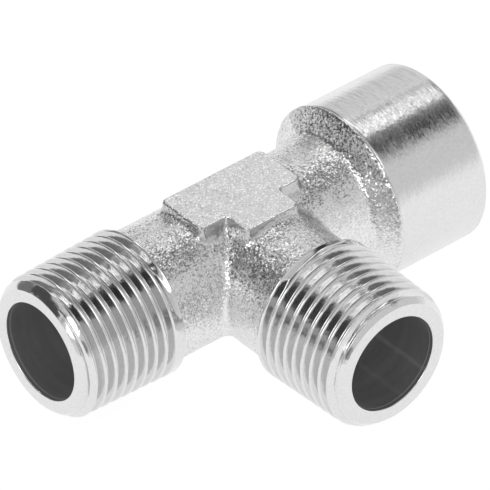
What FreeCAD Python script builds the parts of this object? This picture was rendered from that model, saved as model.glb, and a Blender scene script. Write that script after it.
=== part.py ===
import FreeCAD, Part
import math
import os

# Male-male-female pipe tee, thread size 3/8, made as one nickel-plated brass
# forging. The origin is where the three port axes meet. The run lies along X with
# its female socket towards +X, the branch points to -Y, and the wrench pad faces
# +Z. Every dimension is in millimetres and every angle in degrees.

# driving dimensions: where each port ends, measured from the origin
RUN_MALE_END = 26.9
BRANCH_END = 25.9
SOCKET_END = 27.6

# driving dimensions: the forging
BORE_R = 5.7                # waterway along the run
BRANCH_BORE_R = 5.65        # waterway of the branch, a drill size smaller
NECK_R = 7.65
BRANCH_NECK_R = 7.6         # a touch slimmer, so that the run's neck stays unbroken
SHOULDER_ROOT_R = 8.05      # the socket neck flares to this where the shoulder begins
SHOULDER_ROOT_X = 13.1
SHOULDER_R = 10.6           # forged rim, left a little proud of the turned socket
SHOULDER_X = 14.85
SHOULDER_ROUND = 0.35
NECK_FLARE = 3.0            # length of the flare before the shoulder
CREASE_FILLET = 0.55        # between the run's neck and the branch's neck

# driving dimensions: the T-shaped wrench pad, on the upper side only
PAD_Z = 8.44
PAD_RUN_X = (-7.4, 6.6)
PAD_RUN_Y = (-3.4, 3.35)
PAD_BRANCH_X = (-3.85, 3.5)
PAD_BRANCH_Y = -6.8
PAD_CORNER = 0.7
PAD_EDGE = 0.15

# driving dimensions: the turned socket
SOCKET_START = 15.05
SOCKET_R = 10.45
SOCKET_CHAMFER = 0.5

# Whitworth pipe thread of size 3/8, 19 threads per inch
PITCH = 25.4 / 19
FLANK_ANGLE = 27.5
THREAD_DEPTH = 0.640327 * PITCH
ROOT_ROUND = 0.137329 * PITCH
APEX_CUT = 0.960491 * PITCH / 6     # from the sharp V's apex to the rounded root
GAUGE_MAJOR_R = 8.331
GAUGE_LENGTH = 6.4
TAPER = 1 / 32                      # radius gained per millimetre from the small end
TOOL_OVERRUN = 0.15                 # how far the thread tool stands past the crest

# driving dimensions: the male threads
RUN_THREAD_LENGTH = 13.0
BRANCH_THREAD_LENGTH = 12.2
THREAD_FACE_R = 7.15        # outer edge of the flat end ring
THREAD_NOSE = 1.35          # axial length of the nose chamfer
RUN_LAST_GROOVE = 12.3      # centre of the last groove, measured from the face
BRANCH_LAST_GROOVE = 11.5
RUN_GROOVE_STOP = 119.0     # where the groove stops, turned from +Y towards +Z
BRANCH_GROOVE_STOP = -38.0  # where the groove stops, turned from +Z towards +X

# driving dimensions: the female thread
DRILL_R = GAUGE_MAJOR_R - THREAD_DEPTH
DRILL_DEPTH = 13.5
DRILL_POINT = 59.0          # half of the drill's point angle
MOUTH_R = 8.6
FEMALE_LAST_GROOVE = 11.3
WALL_SECTORS = 8            # the socket's wall is faced in this many sectors
FIRST_SECTOR = 0.25         # where the first sector starts, as a share of a sector

X_AXIS = FreeCAD.Vector(1, 0, 0)
Y_AXIS = FreeCAD.Vector(0, 1, 0)
Z_AXIS = FreeCAD.Vector(0, 0, 1)
ORIGIN = FreeCAD.Vector(0, 0, 0)
PAST = 2.0                  # how far a cutting tool passes a face
NEAR = 0.01                 # two places closer than this are the same place


def port_frame(origin, first, second, inward):
    """Placement of a port's own frame: its Z runs inward from the port's face."""
    matrix = FreeCAD.Matrix(
        first.x, second.x, inward.x, origin.x,
        first.y, second.y, inward.y, origin.y,
        first.z, second.z, inward.z, origin.z,
        0, 0, 0, 1)
    return FreeCAD.Placement(matrix)


RUN_FRAME = port_frame(X_AXIS * -RUN_MALE_END, Y_AXIS, Z_AXIS, X_AXIS)
BRANCH_FRAME = port_frame(Y_AXIS * -BRANCH_END, Z_AXIS, X_AXIS, Y_AXIS)
SOCKET_FRAME = port_frame(X_AXIS * SOCKET_END, Y_AXIS, Z_AXIS * -1, X_AXIS * -1)


def revolved(outline):
    """Solid turned about Z from (radius, height) points."""
    points = [FreeCAD.Vector(radius, 0, height) for radius, height in outline]
    wire = Part.makePolygon(points + points[:1])
    return Part.Face(wire).revolve(ORIGIN, Z_AXIS)


def crest_radius(depth):
    """Crest radius of the taper thread, at a depth inward from the small end."""
    return GAUGE_MAJOR_R + (depth - GAUGE_LENGTH) * TAPER


def drill_radius(depth):
    """Crest radius of the parallel thread, the same at every depth."""
    return DRILL_R


def groove_section(crest, side):
    """Whitworth groove in the XZ plane; side is -1 into a shaft, +1 into a wall."""
    flank = math.radians(FLANK_ANGLE)
    apex = crest + side * (THREAD_DEPTH + APEX_CUT)
    centre = apex - side * ROOT_ROUND / math.sin(flank)
    touch_r = centre + side * ROOT_ROUND * math.sin(flank)
    touch_z = ROOT_ROUND * math.cos(flank)
    open_r = crest - side * TOOL_OVERRUN
    open_z = abs(apex - open_r) * math.tan(flank)
    low_open = FreeCAD.Vector(open_r, 0, -open_z)
    low_touch = FreeCAD.Vector(touch_r, 0, -touch_z)
    bottom = FreeCAD.Vector(centre + side * ROOT_ROUND, 0, 0)
    high_touch = FreeCAD.Vector(touch_r, 0, touch_z)
    high_open = FreeCAD.Vector(open_r, 0, open_z)
    return Part.Wire([
        Part.makeLine(low_open, low_touch),
        Part.Arc(low_touch, bottom, high_touch).toShape(),
        Part.makeLine(high_touch, high_open),
        Part.makeLine(high_open, low_open)])


def threaded(blank, crest_at, side, last_groove, cone_angle):
    """The blank with a right-hand groove cut from outside its face to the last groove."""
    start = -PITCH
    path = Part.makeHelix(PITCH, last_groove - start, crest_at(start), cone_angle)
    section = groove_section(crest_at(start), side)
    tool = Part.Wire(path.Edges).makePipeShell([section], True, True)
    tool.translate(Z_AXIS * start)
    return blank.cut(tool)


def male_end(bore, length, last_groove, stop_angle):
    """Taper-threaded port end in its own frame, from its face to its back shoulder."""
    blank = revolved([
        (bore, 0),
        (THREAD_FACE_R, 0),
        (crest_radius(THREAD_NOSE), THREAD_NOSE),
        (crest_radius(length), length),
        (bore, length)])
    cone_angle = math.degrees(math.atan(TAPER))
    end = threaded(blank, crest_radius, -1, last_groove, cone_angle)
    turned = 360.0 * (last_groove + PITCH) / PITCH
    end.rotate(ORIGIN, Z_AXIS, (stop_angle - turned) % 360.0)
    return end


def socket_end():
    """Turned socket with its parallel thread, in its own frame."""
    depth = SOCKET_END - SOCKET_START
    whole = threaded(revolved([
        (MOUTH_R, 0),
        (SOCKET_R - SOCKET_CHAMFER, 0),
        (SOCKET_R, SOCKET_CHAMFER),
        (SOCKET_R, depth),
        (DRILL_R, depth),
        (DRILL_R, MOUTH_R - DRILL_R)]), drill_radius, 1, FEMALE_LAST_GROOVE, 0)
    step = 360.0 / WALL_SECTORS
    sectors = []
    for index in range(WALL_SECTORS):
        wedge = Part.makeCylinder(SOCKET_R + PAST, depth, ORIGIN, Z_AXIS, step)
        wedge.rotate(ORIGIN, Z_AXIS, (index + FIRST_SECTOR) * step)
        sectors.append(whole.common(wedge))
    return sectors[0].multiFuse(sectors[1:])


def pad_outline():
    """T-shaped wire of the wrench pad at height zero."""
    corners = [
        (PAD_RUN_X[0], PAD_RUN_Y[1]),
        (PAD_RUN_X[0], PAD_RUN_Y[0]),
        (PAD_BRANCH_X[0], PAD_RUN_Y[0]),
        (PAD_BRANCH_X[0], PAD_BRANCH_Y),
        (PAD_BRANCH_X[1], PAD_BRANCH_Y),
        (PAD_BRANCH_X[1], PAD_RUN_Y[0]),
        (PAD_RUN_X[1], PAD_RUN_Y[0]),
        (PAD_RUN_X[1], PAD_RUN_Y[1])]
    points = [FreeCAD.Vector(x, y, 0) for x, y in corners]
    return Part.makePolygon(points + points[:1])


def wrench_pad():
    """The pad as a T-shaped block that stands on the plane of the axes."""
    block = Part.Face(pad_outline()).extrude(Z_AXIS * PAD_Z)
    upright = [edge for edge in block.Edges if edge.BoundBox.ZLength > PAD_Z - NEAR]
    block = block.makeFillet(PAD_CORNER, upright)
    top = [edge for edge in block.Edges if edge.BoundBox.ZMin > PAD_Z - NEAR]
    return block.makeFillet(PAD_EDGE, top)


def run_forging():
    """Neck along the run, flaring to the socket's shoulder, turned about X."""
    start = RUN_THREAD_LENGTH - RUN_MALE_END
    rise = SHOULDER_ROOT_R - NECK_R
    sag = rise / 4
    flare_from = FreeCAD.Vector(NECK_R, 0, SHOULDER_ROOT_X - NECK_FLARE)
    flare_middle = FreeCAD.Vector(NECK_R + sag, 0, SHOULDER_ROOT_X - NECK_FLARE / 2)
    flare_to = FreeCAD.Vector(SHOULDER_ROOT_R, 0, SHOULDER_ROOT_X)
    before = [(0, start), (NECK_R, start)]
    after = [(SHOULDER_R, SHOULDER_X), (SHOULDER_R, SOCKET_START), (0, SOCKET_START)]
    head = [FreeCAD.Vector(radius, 0, height) for radius, height in before]
    tail = [FreeCAD.Vector(radius, 0, height) for radius, height in after]
    outline = Part.Wire(
        Part.makePolygon(head + [flare_from]).Edges
        + [Part.Arc(flare_from, flare_middle, flare_to).toShape()]
        + Part.makePolygon([flare_to] + tail + head[:1]).Edges)
    solid = Part.Face(outline).revolve(ORIGIN, Z_AXIS)
    rim = [edge for edge in solid.Edges
           if edge.BoundBox.ZLength < NEAR
           and abs(edge.BoundBox.ZMin - SHOULDER_X) < NEAR]
    solid = solid.makeFillet(SHOULDER_ROUND, rim)
    solid.rotate(ORIGIN, Y_AXIS, 90)
    return solid


def branch_forging():
    """Plain neck along the branch."""
    length = BRANCH_END - BRANCH_THREAD_LENGTH
    return Part.makeCylinder(BRANCH_NECK_R, length, ORIGIN, Y_AXIS * -1)


def crease_edges(solid):
    """The curves where the run's neck and the branch's neck meet."""
    found = []
    for edge in solid.Edges:
        middle = edge.valueAt((edge.FirstParameter + edge.LastParameter) / 2)
        on_run = abs(math.hypot(middle.y, middle.z) - NECK_R) < NEAR
        on_branch = abs(math.hypot(middle.x, middle.z) - BRANCH_NECK_R) < NEAR
        if on_run and on_branch and edge.Length > NECK_R:
            found.append(edge)
    return found


def waterway():
    """Run bore, branch bore, and the tapping drill's hole behind the thread."""
    run = Part.makeCylinder(BORE_R, RUN_MALE_END + SOCKET_END, X_AXIS * -RUN_MALE_END, X_AXIS)
    branch = Part.makeCylinder(BRANCH_BORE_R, BRANCH_END, ORIGIN, Y_AXIS * -1)
    point = (DRILL_R - BORE_R) / math.tan(math.radians(DRILL_POINT))
    drill = revolved([
        (0, -PAST),
        (DRILL_R, -PAST),
        (DRILL_R, DRILL_DEPTH),
        (BORE_R, DRILL_DEPTH + point),
        (0, DRILL_DEPTH + point)])
    drill.Placement = SOCKET_FRAME
    return run.multiFuse([branch, drill])


def forged_body():
    """Hub with its two necks, shoulder and wrench pad, as one solid."""
    necks = run_forging().fuse(branch_forging())
    body = necks.fuse(wrench_pad()).removeSplitter()
    body = body.makeFillet(CREASE_FILLET, crease_edges(body))
    return body.cut(waterway())


def placed(shape, frame):
    """The shape moved from a port's own frame to the tee's frame."""
    moved = shape.copy()
    moved.transformShape(frame.toMatrix(), False)
    return moved


def build():
    run_end = male_end(
        BORE_R, RUN_THREAD_LENGTH, RUN_LAST_GROOVE, RUN_GROOVE_STOP)
    branch_end = male_end(
        BRANCH_BORE_R, BRANCH_THREAD_LENGTH, BRANCH_LAST_GROOVE, BRANCH_GROOVE_STOP)
    nodes = {
        "forged_body": forged_body(),
        "run_male_end": placed(run_end, RUN_FRAME),
        "branch_male_end": placed(branch_end, BRANCH_FRAME),
        "female_socket_end": placed(socket_end(), SOCKET_FRAME),
    }
    os.makedirs("parts", exist_ok=True)
    for name, shape in nodes.items():
        box = shape.BoundBox
        print(name, shape.isValid(), len(shape.Solids), len(shape.Faces), round(shape.Volume, 1),
              [round(v, 2) for v in (box.XMin, box.XMax, box.YMin, box.YMax, box.ZMin, box.ZMax)])
        shape.exportStep("parts/" + name + ".step")


build()
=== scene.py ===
import math

import bmesh
import bpy
import numpy as np
from mathutils import Matrix, Vector


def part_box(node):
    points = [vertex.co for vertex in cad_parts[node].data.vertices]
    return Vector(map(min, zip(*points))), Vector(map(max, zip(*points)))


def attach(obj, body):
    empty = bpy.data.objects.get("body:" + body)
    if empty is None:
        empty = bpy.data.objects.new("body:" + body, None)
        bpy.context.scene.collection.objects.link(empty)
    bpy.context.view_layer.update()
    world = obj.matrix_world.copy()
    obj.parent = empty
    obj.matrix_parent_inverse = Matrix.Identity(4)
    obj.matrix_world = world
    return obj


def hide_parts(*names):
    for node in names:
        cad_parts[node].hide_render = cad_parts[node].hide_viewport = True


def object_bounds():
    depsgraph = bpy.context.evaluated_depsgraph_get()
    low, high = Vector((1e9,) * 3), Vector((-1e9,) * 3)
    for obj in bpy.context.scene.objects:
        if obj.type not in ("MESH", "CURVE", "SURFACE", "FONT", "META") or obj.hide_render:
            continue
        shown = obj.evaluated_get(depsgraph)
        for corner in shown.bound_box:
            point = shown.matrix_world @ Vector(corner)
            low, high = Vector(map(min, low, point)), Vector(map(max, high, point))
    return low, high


# A nickel-plated pipe tee. The CAD frame gives where each zone starts and ends; the
# pieces below are built in millimetres and turned into metres by mesh_from().
MM = 0.001
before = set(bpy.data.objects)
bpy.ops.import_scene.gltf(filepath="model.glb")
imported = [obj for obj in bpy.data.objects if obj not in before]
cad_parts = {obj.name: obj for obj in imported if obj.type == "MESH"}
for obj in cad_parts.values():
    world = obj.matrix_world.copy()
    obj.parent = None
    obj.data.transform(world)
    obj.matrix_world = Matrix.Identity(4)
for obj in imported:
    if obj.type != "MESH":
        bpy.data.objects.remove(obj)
cad_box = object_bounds()


def low(node):
    """Lowest corner of a CAD node, in millimetres."""
    return [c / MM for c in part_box(node)[0]]


def high(node):
    """Highest corner of a CAD node, in millimetres."""
    return [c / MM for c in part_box(node)[1]]


# where the zones begin and end along their ports, and the two widest radii
RUN_FACE, RUN_BACK = low("run_male_end")[0], high("run_male_end")[0]
BRANCH_FACE, BRANCH_BACK = low("branch_male_end")[1], high("branch_male_end")[1]
SOCKET_BACK, SOCKET_FACE = low("female_socket_end")[0], high("female_socket_end")[0]
SOCKET_R = high("female_socket_end")[1]
SHOULDER_R = high("forged_body")[1]

# forging
BORE_R = 5.7
BRANCH_BORE_R = 5.65
NECK_R = 7.65
BRANCH_NECK_R = 7.6
NECK_BLEND = 0.9            # where the necks and the pad run into one another
FLARE_LENGTH = 3.0
SHOULDER_ROOT = (13.1, 8.05)    # place along the run and radius
SHOULDER_RIM = 14.85
PAD_Z = 8.44
PAD_RUN = ((-7.4, 6.6), (-3.4, 3.35))       # the T's bar, over X and Y
PAD_BRANCH = ((-3.85, 3.5), (-6.8, 0.0))    # the T's leg
PAD_CORNER = 0.7
PAD_DRAFT = math.tan(math.radians(5))
WALL_FOOT_Z = 6.3           # the pad's walls come out of the necks above this
DRILL_DEPTH = 13.5          # of the socket's tapping drill, from the socket's face
DRILL_SLOPE = math.tan(math.radians(59))        # of the drill's point
LUMPS = ((3, 2.2, 0.014), (5, 0.7, 0.006))      # seed, length and height of each
GRAIN = 0.006
STRUCK_SHARE = 0.35         # how much of the unevenness is left on the pad's top
HUB_END_Y = -6.0            # the branch's bore is clear of the run's from here on
MALE_LAP = 0.4              # how far the necks reach into the male ends
SOCKET_LAP = 0.1            # how far the socket reaches into the shoulder
FORGED_CELL = 0.13

# 3/8 pipe thread, 19 per inch, Whitworth form
PITCH = 25.4 / 19
FLANK = math.radians(27.5)
THREAD_DEPTH = 0.640327 * PITCH
ROUND = 0.137329 * PITCH
APEX_CUT = 0.960491 * PITCH / 6
GAUGE_MAJOR_R = 8.331
GAUGE_LENGTH = 6.4
TAPER = 1 / 32
DRILL_R = GAUGE_MAJOR_R - THREAD_DEPTH
MOUTH_R = 8.6
SOCKET_CHAMFER = 0.5
FACE_RING_R = 7.15
NOSE = 1.35
NOSE_BULGE = 5.0            # radius of the nose's slightly round chamfer
LEAD_IN = 0.2               # a male groove starts to show at this depth
LEAD_RAMP = 0.35            # and is whole this far behind it
NO_LEAD_IN = -1.0           # the socket's groove is whole from its face
STOP_TURN = 0.012           # a groove is down to its tail this far past its stop, in turns
STOP_RAMP = 0.02            # and steps down over this share of a turn
TAIL_SHARE = 0.7            # how deep the tail starts, as a share of the groove
MALE_WEAR = 0.006

# each groove's last centre from its port's face, the angle in degrees at which it
# stops there, and the length in turns of the tail that it fades out over
RUN_GROOVE = (12.3, 119, 0.12)
BRANCH_GROOVE = (11.5, -38, 0.19)
SOCKET_GROOVE = (11.3, 40, 0.1)


# ---------------------------------------------------------------- places

def from_run(points):
    """Distance of each point from the run's axis."""
    return np.hypot(points[:, 1], points[:, 2])


def from_branch(points):
    """Distance of each point from the branch's axis."""
    return np.hypot(points[:, 0], points[:, 2])


class Port:
    """A port's own frame: its face's centre, two cross axes, and the way inward."""

    def __init__(self, face, first, second, inward):
        self.face, self.first, self.second, self.inward = (
            np.array(v, float) for v in (face, first, second, inward))

    def point(self, depth, radius, angle):
        across = (np.cos(angle)[..., None] * self.first
                  + np.sin(angle)[..., None] * self.second)
        return self.face + depth[..., None] * self.inward + radius[..., None] * across


RUN = Port((RUN_FACE, 0, 0), (0, 1, 0), (0, 0, 1), (1, 0, 0))
BRANCH = Port((0, BRANCH_FACE, 0), (0, 0, 1), (1, 0, 0), (0, 1, 0))
SOCKET = Port((SOCKET_FACE, 0, 0), (0, 1, 0), (0, 0, -1), (-1, 0, 0))


# ---------------------------------------------------------------- meshes

def mesh_from(name, points, faces, body="root"):
    """A smooth-shaded object from points in millimetres; it rides on the body."""
    mesh = bpy.data.meshes.new(name)
    mesh.from_pydata((points * MM).tolist(), [], faces.tolist())
    work = bmesh.new()
    work.from_mesh(mesh)
    bmesh.ops.recalc_face_normals(work, faces=work.faces)
    work.to_mesh(mesh)
    work.free()
    mesh.shade_smooth()
    obj = bpy.data.objects.new(name, mesh)
    bpy.context.scene.collection.objects.link(obj)
    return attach(obj, body)


def torus_faces(rows, columns):
    """Quads over a grid that closes on itself both ways."""
    index = np.arange(rows * columns).reshape(rows, columns)
    down = np.roll(index, -1, 0)
    right = np.roll(index, -1, 1)
    corner = np.roll(down, -1, 1)
    return np.stack([index, right, corner, down], -1).reshape(-1, 4)


def walk(corners, steps):
    """Points along a closed outline: each corner is (depth, radius, step length)."""
    found = []
    for here, there in zip(corners, corners[1:] + corners[:1]):
        gap = math.dist(here[:2], there[:2])
        count = max(1, round(gap / steps[here[2]]))
        share = np.arange(count) / count
        found.append(np.stack([here[0] + (there[0] - here[0]) * share,
                               here[1] + (there[1] - here[1]) * share], 1))
    return np.concatenate(found)


def arc(centre, radius, start, stop, count, step):
    """Outline corners on an arc in the (depth, radius) plane, angles in degrees."""
    turns = np.radians(np.linspace(start, stop, count))
    return [(centre[0] + radius * math.cos(t), centre[1] + radius * math.sin(t), step)
            for t in turns]


def thread_depth(depth, angle, groove, lead_in):
    """How deep the right-hand groove is below the crest at each place.

    The groove steps up a little where it stops, then fades out over the tail.
    """
    last, stop, tail = groove
    turns = (angle - math.radians(stop)) / (2 * math.pi)
    along = (depth - last) / PITCH - turns
    from_centre = (along - np.round(along)) * PITCH
    turn = (depth - from_centre - last) / PITCH
    near = np.abs(from_centre)
    far = PITCH / 2 - near
    reach = ROUND * math.cos(FLANK)
    flank = THREAD_DEPTH + APEX_CUT - near / math.tan(FLANK)
    root = THREAD_DEPTH - ROUND + np.sqrt(np.clip(ROUND ** 2 - near ** 2, 0, None))
    crest = ROUND - np.sqrt(np.clip(ROUND ** 2 - far ** 2, 0, None))
    shape = np.where(near < reach, root, np.where(far < reach, crest, flank))
    faded = TAIL_SHARE * np.clip(1 - turn / tail, 0, 1)
    share = faded + (1 - faded) * np.clip((STOP_TURN - turn) / STOP_RAMP, 0, 1)
    clear = np.clip((depth - lead_in) / LEAD_RAMP, 0, 1)
    return shape * share * clear * clear * (3 - 2 * clear)


def crest_radius(depth):
    """Crest radius of the taper thread, at a depth from the small end."""
    return GAUGE_MAJOR_R + (depth - GAUGE_LENGTH) * TAPER


def waves(points, seed, length, count=28):
    """Smooth random field of unit spread, from plane waves about one length long."""
    random = np.random.default_rng(seed)
    total = np.zeros(len(points))
    for _ in range(count):
        way = random.normal(size=3)
        way *= 2 * math.pi / (length * random.uniform(0.7, 1.6) * np.linalg.norm(way))
        total += np.cos(points @ way + random.uniform(0, 2 * math.pi))
    return total * math.sqrt(2 / count)


STEPS = {"thread": 0.042, "edge": 0.05, "plain": 0.5}
COLUMNS = 288


def ring_grid(outline):
    """Depth, radius and angle at every point of an outline turned about its port."""
    angle = np.linspace(0, 2 * math.pi, COLUMNS, endpoint=False)[None, :]
    depth = outline[:, :1] + 0 * angle
    radius = outline[:, 1:] + 0 * angle
    return depth, radius, angle + 0 * depth


def male_end(name, port, bore, length, groove, seed):
    """Nose, taper thread and back land as one closed ring of metal."""
    nose_back = crest_radius(NOSE)
    chord = math.dist((0, FACE_RING_R), (NOSE, nose_back))
    lean = math.atan2(nose_back - FACE_RING_R, NOSE)
    half = math.asin(chord / 2 / NOSE_BULGE)
    middle = (NOSE / 2, (FACE_RING_R + nose_back) / 2)
    drop = NOSE_BULGE * math.cos(half)
    centre = (middle[0] + drop * math.sin(lean), middle[1] - drop * math.cos(lean))
    facing = math.degrees(lean + math.pi / 2)
    spread = math.degrees(half)
    nose = arc(centre, NOSE_BULGE, facing - spread, facing + spread, 24, "edge")
    land = crest_radius(length)
    back = [(length, bore, "plain"), (length, land - 0.3, "edge"),
            (length, land - 0.06, "edge"), (length - 0.06, land, "thread"),
            (NOSE + 0.02, crest_radius(NOSE + 0.02), "edge")]
    front = [(0, bore + 0.12, "edge"), (0.04, bore + 0.04, "edge"),
             (0.12, bore, "edge"), (0.8, bore, "plain")]
    depth, radius, angle = ring_grid(walk(back + nose + front, STEPS))
    outer = (radius > (bore + FACE_RING_R) / 2) & (depth < length - 0.01)
    cut = crest_radius(depth) - thread_depth(depth, angle, groove, LEAD_IN)
    radius = np.where(outer, np.minimum(radius, cut), radius)
    points = port.point(depth, radius, angle).reshape(-1, 3)
    worn = MALE_WEAR * waves(points, seed, 1.4)[:, None]
    points += worn * (points - points.mean(0)) / 10
    return mesh_from(name, points, torus_faces(*depth.shape))


def socket_end():
    """Turned socket: outside, chamfers, countersink and parallel thread."""
    length = SOCKET_FACE - SOCKET_BACK
    mouth = MOUTH_R - DRILL_R
    corners = [(0.04, MOUTH_R - 0.02, "edge"), (0, MOUTH_R + 0.05, "plain"),
               (0, SOCKET_R - SOCKET_CHAMFER - 0.06, "edge"),
               (0.03, SOCKET_R - SOCKET_CHAMFER, "edge"),
               (SOCKET_CHAMFER, SOCKET_R - 0.03, "edge"),
               (SOCKET_CHAMFER + 0.08, SOCKET_R, "plain"),
               (length + SOCKET_LAP, SOCKET_R, "plain"),
               (length + SOCKET_LAP, DRILL_R, "edge"), (length, DRILL_R, "thread"),
               (mouth, DRILL_R, "edge")]
    depth, radius, angle = ring_grid(walk(corners, STEPS))
    inner = (radius < MOUTH_R - 0.01) & (depth < length - 0.01)
    cut = DRILL_R + thread_depth(depth, angle, SOCKET_GROOVE, NO_LEAD_IN)
    radius = np.where(inner, np.maximum(radius, cut), radius)
    points = SOCKET.point(depth, radius, angle).reshape(-1, 3)
    return mesh_from("turned_socket", points, torus_faces(*depth.shape))


def smooth_min(a, b, width):
    """Least of two distances, blended over a width."""
    mix = np.clip(0.5 + 0.5 * (b - a) / width, 0, 1)
    return b + (a - b) * mix - width * mix * (1 - mix)


def rectangle(x, y, spans, corner):
    """Distance to a rectangle with rounded corners."""
    out = []
    for value, (start, stop) in zip((x, y), spans):
        out.append(np.abs(value - (start + stop) / 2) - (stop - start) / 2 + corner)
    outside = np.hypot(np.maximum(out[0], 0), np.maximum(out[1], 0))
    return outside + np.minimum(np.maximum(out[0], out[1]), 0) - corner


def forging(points):
    """Signed distance to the forged zone: negative in the metal."""
    x, y, z = points.T
    around_run = from_run(points)
    around_branch = from_branch(points)
    flare_start = SHOULDER_ROOT[0] - FLARE_LENGTH
    flare = np.clip((x - flare_start) / FLARE_LENGTH, 0, 1)
    slope = (SHOULDER_R - SHOULDER_ROOT[1]) / (SHOULDER_RIM - SHOULDER_ROOT[0])
    neck = NECK_R + (SHOULDER_ROOT[1] - NECK_R) * flare ** 2
    cone = SHOULDER_ROOT[1] + slope * (x - SHOULDER_ROOT[0])
    face = (around_run - cone) / math.hypot(1, slope)
    shoulder = -smooth_min(-face, SHOULDER_R - around_run, 0.3)
    run = smooth_min(around_run - neck, shoulder, 0.25)
    branch = np.maximum(around_branch - BRANCH_NECK_R, y)
    necks = smooth_min(run, branch, NECK_BLEND)
    rise = z - PAD_Z
    outline = smooth_min(rectangle(x, y, PAD_RUN, PAD_CORNER),
                         rectangle(x, y, PAD_BRANCH, PAD_CORNER), 0.5)
    wall = (outline + rise * PAD_DRAFT) / math.hypot(1, PAD_DRAFT)
    pad = np.maximum(-smooth_min(-wall, -rise, 0.16), -z)
    body = smooth_min(necks, pad, NECK_BLEND)
    point = (x - SOCKET_FACE + DRILL_DEPTH) * DRILL_SLOPE + DRILL_R
    drilled = np.minimum(point, DRILL_R) - around_run
    water = np.maximum(BORE_R - around_run, drilled)
    water = np.maximum(water, np.minimum(BRANCH_BORE_R - around_branch, -y))
    ends = np.maximum(np.maximum(x - SOCKET_BACK, RUN_BACK - x), BRANCH_BACK - y)
    return -smooth_min(-np.maximum(body, water), -ends, 0.1)


def even_copy(name, node, cell):
    """A new object with a CAD node's shape in even cells, and its points in millimetres."""
    obj = bpy.data.objects.new(name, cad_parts[node].data.copy())
    bpy.context.scene.collection.objects.link(obj)
    remesh = obj.modifiers.new("even", "REMESH")
    remesh.mode = "VOXEL"
    remesh.voxel_size = cell * MM
    remesh.adaptivity = 0
    bpy.context.view_layer.objects.active = obj
    bpy.context.view_layer.update()
    graph = bpy.context.evaluated_depsgraph_get()
    mesh = bpy.data.meshes.new_from_object(obj.evaluated_get(graph))
    obj.modifiers.clear()
    obj.data = mesh
    points = np.zeros(len(mesh.vertices) * 3)
    mesh.vertices.foreach_get("co", points)
    return obj, points.reshape(-1, 3) / MM


def onto_surface(points, distance, furthest, rounds=4, step=0.002):
    """Points moved onto the zero of a signed distance, and the surface's normals there."""
    for _ in range(rounds):
        here = distance(points)
        slope = np.stack([(distance(points + step * axis) - here) / step
                          for axis in np.eye(3)], 1)
        steepness = np.maximum((slope ** 2).sum(1), 0.25)
        move = -(here / steepness)[:, None] * slope
        points = points + np.clip(move, -furthest, furthest)
    return points, slope / np.linalg.norm(slope, axis=1)[:, None]


def forged_body():
    """The forged zone: the CAD solid in even cells, moved onto forging(), then aged."""
    obj, points = even_copy("forged_tee_body", "forged_body", FORGED_CELL)
    points, normals = onto_surface(points, forging, FORGED_CELL)
    outer = BORE_R + 0.6
    outside = from_run(points) > outer
    outside &= (points[:, 1] > HUB_END_Y) | (from_branch(points) > outer)
    lumps = sum(rise * waves(points, seed, length) for seed, length, rise in LUMPS)
    grain = GRAIN * np.random.default_rng(7).normal(size=len(points))
    struck = np.where(points[:, 2] > PAD_Z - 0.1, STRUCK_SHARE, 1)
    points = points + ((lumps + grain) * outside * struck)[:, None] * normals
    for axis, edge in ((0, RUN_BACK), (1, BRANCH_BACK)):
        near = np.clip(1 - np.abs(points[:, axis] - edge) / 0.5, 0, 1)
        points[:, axis] -= MALE_LAP * near
    obj.data.vertices.foreach_set("co", (points * MM).ravel())
    obj.data.shade_smooth()
    obj.data.update()
    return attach(obj, "root")


# ---------------------------------------------------------------- materials

class Graph:
    """Short calls for the shader nodes of one material or world."""

    def __init__(self, tree):
        self.tree = tree

    def node(self, kind, **values):
        made = self.tree.nodes.new(kind)
        for key, value in values.items():
            setattr(made, key, value)
        return made

    def put(self, socket, value):
        if isinstance(value, bpy.types.NodeSocket):
            self.tree.links.new(value, socket)
        else:
            socket.default_value = value

    def math(self, operation, *values, clamp=False):
        made = self.node("ShaderNodeMath", operation=operation, use_clamp=clamp)
        for socket, value in zip(made.inputs, values):
            self.put(socket, value)
        return made.outputs[0]

    def vector(self, operation, *values, out=0):
        made = self.node("ShaderNodeVectorMath", operation=operation)
        for socket, value in zip(made.inputs, values):
            self.put(socket, value)
        return made.outputs[out]

    def ramp(self, value, start, stop, low_value, high_value):
        made = self.node("ShaderNodeMapRange", interpolation_type="SMOOTHSTEP")
        for socket, item in zip(made.inputs, (value, start, stop, low_value, high_value)):
            self.put(socket, item)
        return made.outputs[0]

    def mix(self, share, first, second):
        """first where share is 0, second where it is 1."""
        gap = self.math("SUBTRACT", second, first)
        return self.math("MULTIPLY_ADD", gap, share, first)

    def noise(self, vector, scale, detail=2.0, rough=0.5):
        made = self.node("ShaderNodeTexNoise")
        self.put(made.inputs["Vector"], vector)
        made.inputs["Scale"].default_value = scale
        made.inputs["Detail"].default_value = detail
        made.inputs["Roughness"].default_value = rough
        return made.outputs["Fac"]

    def bump(self, height, distance, strength=1.0, normal=None):
        made = self.node("ShaderNodeBump")
        self.put(made.inputs["Height"], height)
        self.put(made.inputs["Distance"], distance)
        made.inputs["Strength"].default_value = strength
        if normal is not None:
            self.put(made.inputs["Normal"], normal)
        return made.outputs["Normal"]


def metal(name, color, roughness):
    """A metallic material: its graph and its shader node."""
    material = bpy.data.materials.new(name)
    material.use_nodes = True
    graph = Graph(material.node_tree)
    shader = material.node_tree.nodes["Principled BSDF"]
    shader.inputs["Metallic"].default_value = 1.0
    graph.put(shader.inputs["Base Color"], color)
    graph.put(shader.inputs["Roughness"], roughness)
    return material, graph, shader


def place(graph):
    """The place of each shaded point, in metres in the CAD frame."""
    return graph.node("ShaderNodeTexCoord").outputs["Object"]


def separate(graph, vector):
    """The three parts of a vector or colour."""
    split = graph.node("ShaderNodeSeparateXYZ")
    graph.put(split.inputs[0], vector)
    return split.outputs


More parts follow.
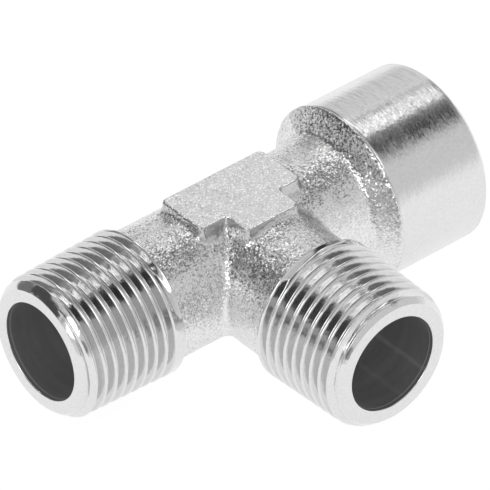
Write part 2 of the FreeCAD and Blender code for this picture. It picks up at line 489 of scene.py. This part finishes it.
def lathe_place(graph, axis):
    """Coordinates that run fast along a port's axis and slowly around it.

    Also gives the place along the axis and the distance from it.
    """
    parts = separate(graph, place(graph))
    along, one, two = (parts[i] for i in ((0, 1, 2) if axis == "X" else (1, 0, 2)))
    squares = graph.math("MULTIPLY_ADD", one, one, graph.math("MULTIPLY", two, two))
    radius = graph.math("SQRT", squares)
    join = graph.node("ShaderNodeCombineXYZ")
    graph.put(join.inputs[0], graph.math("ADD", along, radius))
    for socket, part in zip(join.inputs[1:], (one, two)):
        around = graph.math("DIVIDE", part, radius)
        graph.put(socket, graph.math("MULTIPLY", around, AROUND))
    return join.outputs[0], along, radius


NICKEL = (0.735, 0.735, 0.73, 1)
# the bores' nickel, dark as painted shade for the unlit inside
BORE_PAINTED_SHADE = (0.30, 0.30, 0.30, 1)

# the blasted grain's facets, and how far they tilt on the forging and on its pad
FACETS_PER_METRE = 6200
FACET_TILT = 0.42
PAD_TILT = 0.1
PAD_GLINT_CHANCE = 0.88           # facets whose chance is above this get painted glints, a white base colour, on the pad's top

# turned metal: roughness, tool rings per metre and their height in metres
THREAD_TURNING = (0.11, 7000, 0.000006)
SOCKET_TURNING = (0.17, 6000, 0.000036)
AROUND = 0.0012             # how little the tool rings change around the axis

# bores: a painted glow ring this far from the face, and painted reflection streaks as (angle,
# glow)
GLOW_RING_DEPTH = 0.55
RING_GLOW = 0.12
PAINTED_STREAKS = ((125, 0.017), (162, 0.008))
PAINTED_STREAK_EDGE = math.cos(math.radians(3.5))


def forged_nickel():
    """Blasted and plated: a grain of small facets, calm on the struck pad and its walls;
    painted glints on the pad's top and painted shade on its walls and rim.
    """
    material, graph, shader = metal("forged_nickel", NICKEL, 0.15)
    where = place(graph)
    height = separate(graph, where)[2]
    facing = separate(graph, graph.node("ShaderNodeTexCoord").outputs["Normal"])
    over_neck = graph.ramp(height, WALL_FOOT_Z * MM, (WALL_FOOT_Z + 0.2) * MM, 0, 1)
    on_edge = graph.ramp(height, (PAD_Z - 0.35) * MM, (PAD_Z - 0.2) * MM, 0, 1)
    on_wall = graph.math("MULTIPLY", over_neck, graph.ramp(facing[2], 0.55, 0.8, 1, 0))
    on_rim = graph.math("MULTIPLY", on_edge, graph.ramp(facing[2], 0.75, 0.985, 1, 0))
    on_top = graph.math("MULTIPLY", on_edge, graph.ramp(facing[2], 0.75, 0.985, 0, 1))
    # painted shade: where the pad's walls and the rounding of its rim are darkened
    painted_shade_share = graph.math("MAXIMUM", on_wall, on_rim)
    facets = graph.node("ShaderNodeTexVoronoi", feature="F1")
    graph.put(facets.inputs["Vector"], where)
    facets.inputs["Scale"].default_value = FACETS_PER_METRE
    chance = separate(graph, facets.outputs["Color"])
    across_run = graph.math("ABSOLUTE", facing[1])
    wall_tilt = graph.ramp(across_run, 0.4, 0.8, FACET_TILT, PAD_TILT)
    tilt = graph.mix(on_top, graph.mix(on_wall, FACET_TILT, wall_tilt), PAD_TILT)
    lean = graph.vector("SUBTRACT", facets.outputs["Color"], (0.5, 0.5, 0.5))
    scaled = graph.node("ShaderNodeVectorMath", operation="SCALE")
    graph.put(scaled.inputs[0], lean)
    graph.put(scaled.inputs["Scale"], tilt)
    fine = graph.noise(where, 5200, 2.0, 0.55)
    coarse = graph.noise(where, 1900, 2.0, 0.5)
    relief = graph.math("MULTIPLY_ADD", coarse, 0.6, fine)
    calm = graph.math("MAXIMUM", on_top, on_wall)
    bumped = graph.bump(relief, graph.mix(calm, 0.00004, 0.000012))
    normal = graph.vector("NORMALIZE", graph.vector("ADD", bumped, scaled.outputs[0]))
    graph.put(shader.inputs["Normal"], normal)
    patch = graph.noise(where, 900, 3.0, 0.6)
    graph.put(shader.inputs["Roughness"], graph.ramp(patch, 0.3, 0.7, 0.11, 0.2))
    shade = graph.ramp(chance[1], 0, 1, 0.7, 0.83)
    # painted glints: chosen facets on the pad's top get a white base colour
    chosen = graph.math("GREATER_THAN", chance[0], PAD_GLINT_CHANCE)
    painted_glint = graph.math("MULTIPLY", chosen, on_top)
    shade = graph.mix(painted_glint, shade, 1.0)
    # painted shade: the base colour drops to 0.7 on the pad's walls and rim
    shade = graph.math("MULTIPLY", shade, graph.ramp(painted_shade_share, 0, 1, 1, 0.7))
    graph.put(shader.inputs["Base Color"], shade)
    return material


def machined_nickel(name, axis, turning, small_end=None):
    """Turned metal; given its small end, thread grooves get painted shade, darker than
    crests.
    """
    roughness, lines, depth = turning
    material, graph, shader = metal(name, NICKEL, roughness)
    around, along, radius = lathe_place(graph, axis)
    fine = graph.noise(around, lines, 3.0, 0.6)
    broad = graph.noise(around, lines / 5, 2.0, 0.5)
    height = graph.math("MULTIPLY_ADD", broad, 1.5, fine)
    where = place(graph)
    dents = graph.noise(where, 1300, 2.0, 0.5)
    normal = graph.bump(height, depth)
    graph.put(shader.inputs["Normal"], graph.bump(dents, 0.00003, 0.6, normal))
    patch = graph.noise(where, 260, 3.0, 0.6)
    graph.put(shader.inputs["Roughness"],
              graph.ramp(patch, 0.3, 0.7, roughness * 0.8, roughness * 1.35))
    shade = graph.ramp(graph.noise(where, 3100, 2.0, 0.6), 0.25, 0.75, 0.71, 0.76)
    # painted shade: the thread's grooves are darkened to 0.87 of the crests' colour
    if small_end is not None:
        inward = graph.math("SUBTRACT", along, small_end * MM)
        start = (GAUGE_MAJOR_R - GAUGE_LENGTH * TAPER) * MM
        crest = graph.math("MULTIPLY_ADD", inward, TAPER, start)
        below = graph.math("SUBTRACT", crest, radius)
        groove_shade = graph.math("MULTIPLY", graph.ramp(below, 0.03 * MM, 0.25 * MM, 0, 1),
                          graph.ramp(inward, NOSE * MM, (NOSE + 0.3) * MM, 0, 1))
        shade = graph.math("MULTIPLY", shade, graph.ramp(groove_shade, 0, 1, 1, 0.87))
    graph.put(shader.inputs["Base Color"], shade)
    return material


def bore_metal(name, axis, face, painted_streaks):
    """Dull drilled wall with tool rings, kept dark as painted shade, with a painted glow, a
    brighter painted glow ring near the face and painted reflection streaks along it.
    """
    material, graph, shader = metal(name, BORE_PAINTED_SHADE, 0.42)
    around, along, _ = lathe_place(graph, axis)
    where = place(graph)
    grain = graph.noise(where, 1500, 3.0, 0.6)
    graph.put(shader.inputs["Normal"], graph.bump(grain, 0.00003))
    # painted shade: the drilled wall's colour is kept dark
    shade = graph.ramp(graph.noise(around, 900, 2.0, 0.5), 0.3, 0.7, 0.28, 0.33)
    graph.put(shader.inputs["Base Color"], shade)
    # painted glow: a faint emission over the whole wall stands in for light bounced into the
    # bore
    glow = graph.ramp(graph.noise(around, 500, 2.0, 0.5), 0.4, 0.8, 0.028, 0.036)
    # painted glow ring: brighter emission in a band near the face
    ring = (face + GLOW_RING_DEPTH) * MM
    off_ring = graph.math("ABSOLUTE", graph.math("SUBTRACT", along, ring))
    glow = graph.mix(graph.ramp(off_ring, 0.02 * MM, 0.08 * MM, 1, 0), glow, RING_GLOW)
    outward = graph.vector("NORMALIZE", graph.vector(
        "MULTIPLY", where, (0, 1, 1) if axis == "X" else (1, 0, 1)))
    # painted reflection streaks: more emission along the wall at the listed angles
    for angle, extra in painted_streaks:
        turn = math.radians(angle)
        way = ((0, math.cos(turn), math.sin(turn)) if axis == "X"
               else (math.sin(turn), 0, math.cos(turn)))
        aligned = graph.vector("DOT_PRODUCT", outward, way, out=1)
        share = graph.ramp(aligned, PAINTED_STREAK_EDGE, 1, 0, 1)
        glow = graph.math("MULTIPLY_ADD", share, extra, glow)
    shader.inputs["Emission Color"].default_value = (1, 1, 1, 1)
    graph.put(shader.inputs["Emission Strength"], glow)
    return material


def dress(obj, node, material, bore_material, inside):
    """Gives a piece its metal and its bore's metal, and stands it for its CAD node."""
    obj.data.materials.clear()
    obj.data.materials.append(material)
    obj.data.materials.append(bore_material)
    centres = np.zeros(len(obj.data.polygons) * 3)
    obj.data.polygons.foreach_get("center", centres)
    chosen = inside(centres.reshape(-1, 3) / MM).astype(np.int32)
    obj.data.polygons.foreach_set("material_index", chosen)
    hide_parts(node)


# ---------------------------------------------------------------- studio

def heading(azimuth, elevation):
    """Unit vector at an azimuth from +X towards +Y and an elevation, in degrees."""
    a, e = math.radians(azimuth), math.radians(elevation)
    return Vector((math.cos(a) * math.cos(e), math.sin(a) * math.cos(e), math.sin(e)))


# the tent's panels, each painted over those before it: azimuth and elevation, half
# width and half height, softness of the edge, all in degrees, then brightness
PANELS = (
    # a grey card overhead and a black one on the socket's side
    (350, 80, 19, 19, 4, 0.25),
    (338, 51, 14, 11, 2, 0.04),
    # the tent's far side, which the pad's top mirrors, and the gaps around it
    (52, 36, 20, 24, 5, 0.86),
    (36, 50.5, 6, 5, 2, 0.12),
    (18, 38, 12, 16, 4, 0.26),
    (79, 33, 17, 22, 3, 0.33),
    # dark cards to the left
    (108, 13, 15, 14, 3, 0.2),
    (145, 39.5, 30, 15, 3, 0.08),
    (155, 9, 9, 4, 2, 0.2),
    # two soft boxes overhead
    (24, 58.5, 9.5, 5, 2, 2.6),
    (88, 63, 15.5, 6, 3, 2.2),
    # the camera and its stand, with a soft box beside them
    (228, 13, 8, 10, 2, 0.22),
    (230, 39, 6, 6, 2, 0.14),
    (208, 36, 11, 13, 2, 3.5),
)


def panel(graph, ray, light, azimuth, elevation, wide, tall, soft, value):
    """The light with one soft-edged rectangle of the tent painted over it."""
    centre = heading(azimuth, elevation)
    across = Vector((0, 0, 1)).cross(centre).normalized()
    upward = centre.cross(across)
    edge = math.sin(math.radians(soft))
    share = graph.ramp(graph.vector("DOT_PRODUCT", ray, centre, out=1), 0, 0.05, 0, 1)
    for way, half in ((across, wide), (upward, tall)):
        reach = math.sin(math.radians(half))
        offset = graph.math("ABSOLUTE", graph.vector("DOT_PRODUCT", ray, way, out=1))
        share = graph.math("MULTIPLY", share,
                           graph.ramp(offset, reach - edge, reach + edge, 1, 0))
    return graph.mix(share, light, value)


def studio():
    """A white tent, brightest at the table, with grey cards and soft boxes in it."""
    world = bpy.data.worlds.new("studio")
    bpy.context.scene.world = world
    world.use_nodes = True
    graph = Graph(world.node_tree)
    ray = graph.node("ShaderNodeTexCoord").outputs["Generated"]
    up = separate(graph, ray)[2]
    light = graph.ramp(up, 0.0, 0.22, 0.95, 0.73)
    for row in PANELS:
        light = panel(graph, ray, light, *row)
    graph.put(world.node_tree.nodes["Background"].inputs["Color"], light)


def floor():
    """Pale table just under the socket, bright enough to read as white."""
    bpy.ops.mesh.primitive_plane_add(size=3.0, location=(0, 0, cad_box[0][2] - 0.2 * MM))
    obj = bpy.context.object
    obj.name = "floor"
    material = bpy.data.materials.new("pale_table")
    material.use_nodes = True
    shader = material.node_tree.nodes["Principled BSDF"]
    shader.inputs["Base Color"].default_value = (0.22, 0.22, 0.22, 1)
    shader.inputs["Roughness"].default_value = 1.0
    shader.inputs["Emission Color"].default_value = (1, 1, 1, 1)
    shader.inputs["Emission Strength"].default_value = 0.88
    obj.data.materials.append(material)


# the photograph's viewpoint: azimuth from -Y, elevation and roll in degrees, then metres
VIEW_TURNS = (-39.796, 37.801, -0.641)
VIEW_DISTANCE = 0.6877
LENS = 469.0
SHIFT = (0.0220, 0.01025)


def camera():
    """A long lens looking down at the tee from beside its male ends."""
    azimuth, elevation, roll = (math.radians(turn) for turn in VIEW_TURNS)
    back = Vector((math.sin(azimuth) * math.cos(elevation),
                   -math.cos(azimuth) * math.cos(elevation),
                   math.sin(elevation)))
    data = bpy.data.cameras.new("camera")
    data.sensor_width = 36.0
    data.lens = LENS
    data.shift_x, data.shift_y = SHIFT
    data.clip_start = 0.01
    obj = bpy.data.objects.new("camera", data)
    obj.matrix_world = (Matrix.Translation(back * VIEW_DISTANCE)
                        @ back.to_track_quat("Z", "Y").to_matrix().to_4x4()
                        @ Matrix.Rotation(roll, 4, "Z"))
    bpy.context.scene.collection.objects.link(obj)
    bpy.context.scene.camera = obj


# ---------------------------------------------------------------- assembly

def in_forged_bores(centres):
    """Which of the forging's faces are inside its bores."""
    in_run = from_run(centres) < BORE_R + 0.15
    in_branch = (from_branch(centres) < BRANCH_BORE_R + 0.15) & (centres[:, 1] < 0)
    return in_run | in_branch


def in_run_end(centres):
    return (from_run(centres) < BORE_R + 0.01) & (centres[:, 0] > RUN_FACE + 0.1)


def in_branch_end(centres):
    return (from_branch(centres) < BRANCH_BORE_R + 0.01) & (centres[:, 1] > BRANCH_FACE + 0.1)


def nowhere(centres):
    return np.zeros(len(centres))


def build():
    run_bore = bore_metal("run_bore_nickel", "X", RUN_FACE, ())
    branch_bore = bore_metal("branch_bore_nickel", "Y", BRANCH_FACE, PAINTED_STREAKS)
    body = forged_body()
    dress(body, "forged_body", forged_nickel(), run_bore, in_forged_bores)
    run = male_end("run_thread", RUN, BORE_R, RUN_BACK - RUN_FACE, RUN_GROOVE, 11)
    metal_of_run = machined_nickel("run_thread_nickel", "X", THREAD_TURNING, RUN_FACE)
    dress(run, "run_male_end", metal_of_run, run_bore, in_run_end)
    branch = male_end(
        "branch_thread", BRANCH, BRANCH_BORE_R, BRANCH_BACK - BRANCH_FACE, BRANCH_GROOVE, 12)
    metal_of_branch = machined_nickel(
        "branch_thread_nickel", "Y", THREAD_TURNING, BRANCH_FACE)
    dress(branch, "branch_male_end", metal_of_branch, branch_bore,
          in_branch_end)
    socket = socket_end()
    metal_of_socket = machined_nickel("turned_socket_nickel", "X", SOCKET_TURNING)
    dress(socket, "female_socket_end", metal_of_socket, run_bore, nowhere)


build()
studio()
floor()
camera()
bpy.context.scene.view_settings.view_transform = "Standard"
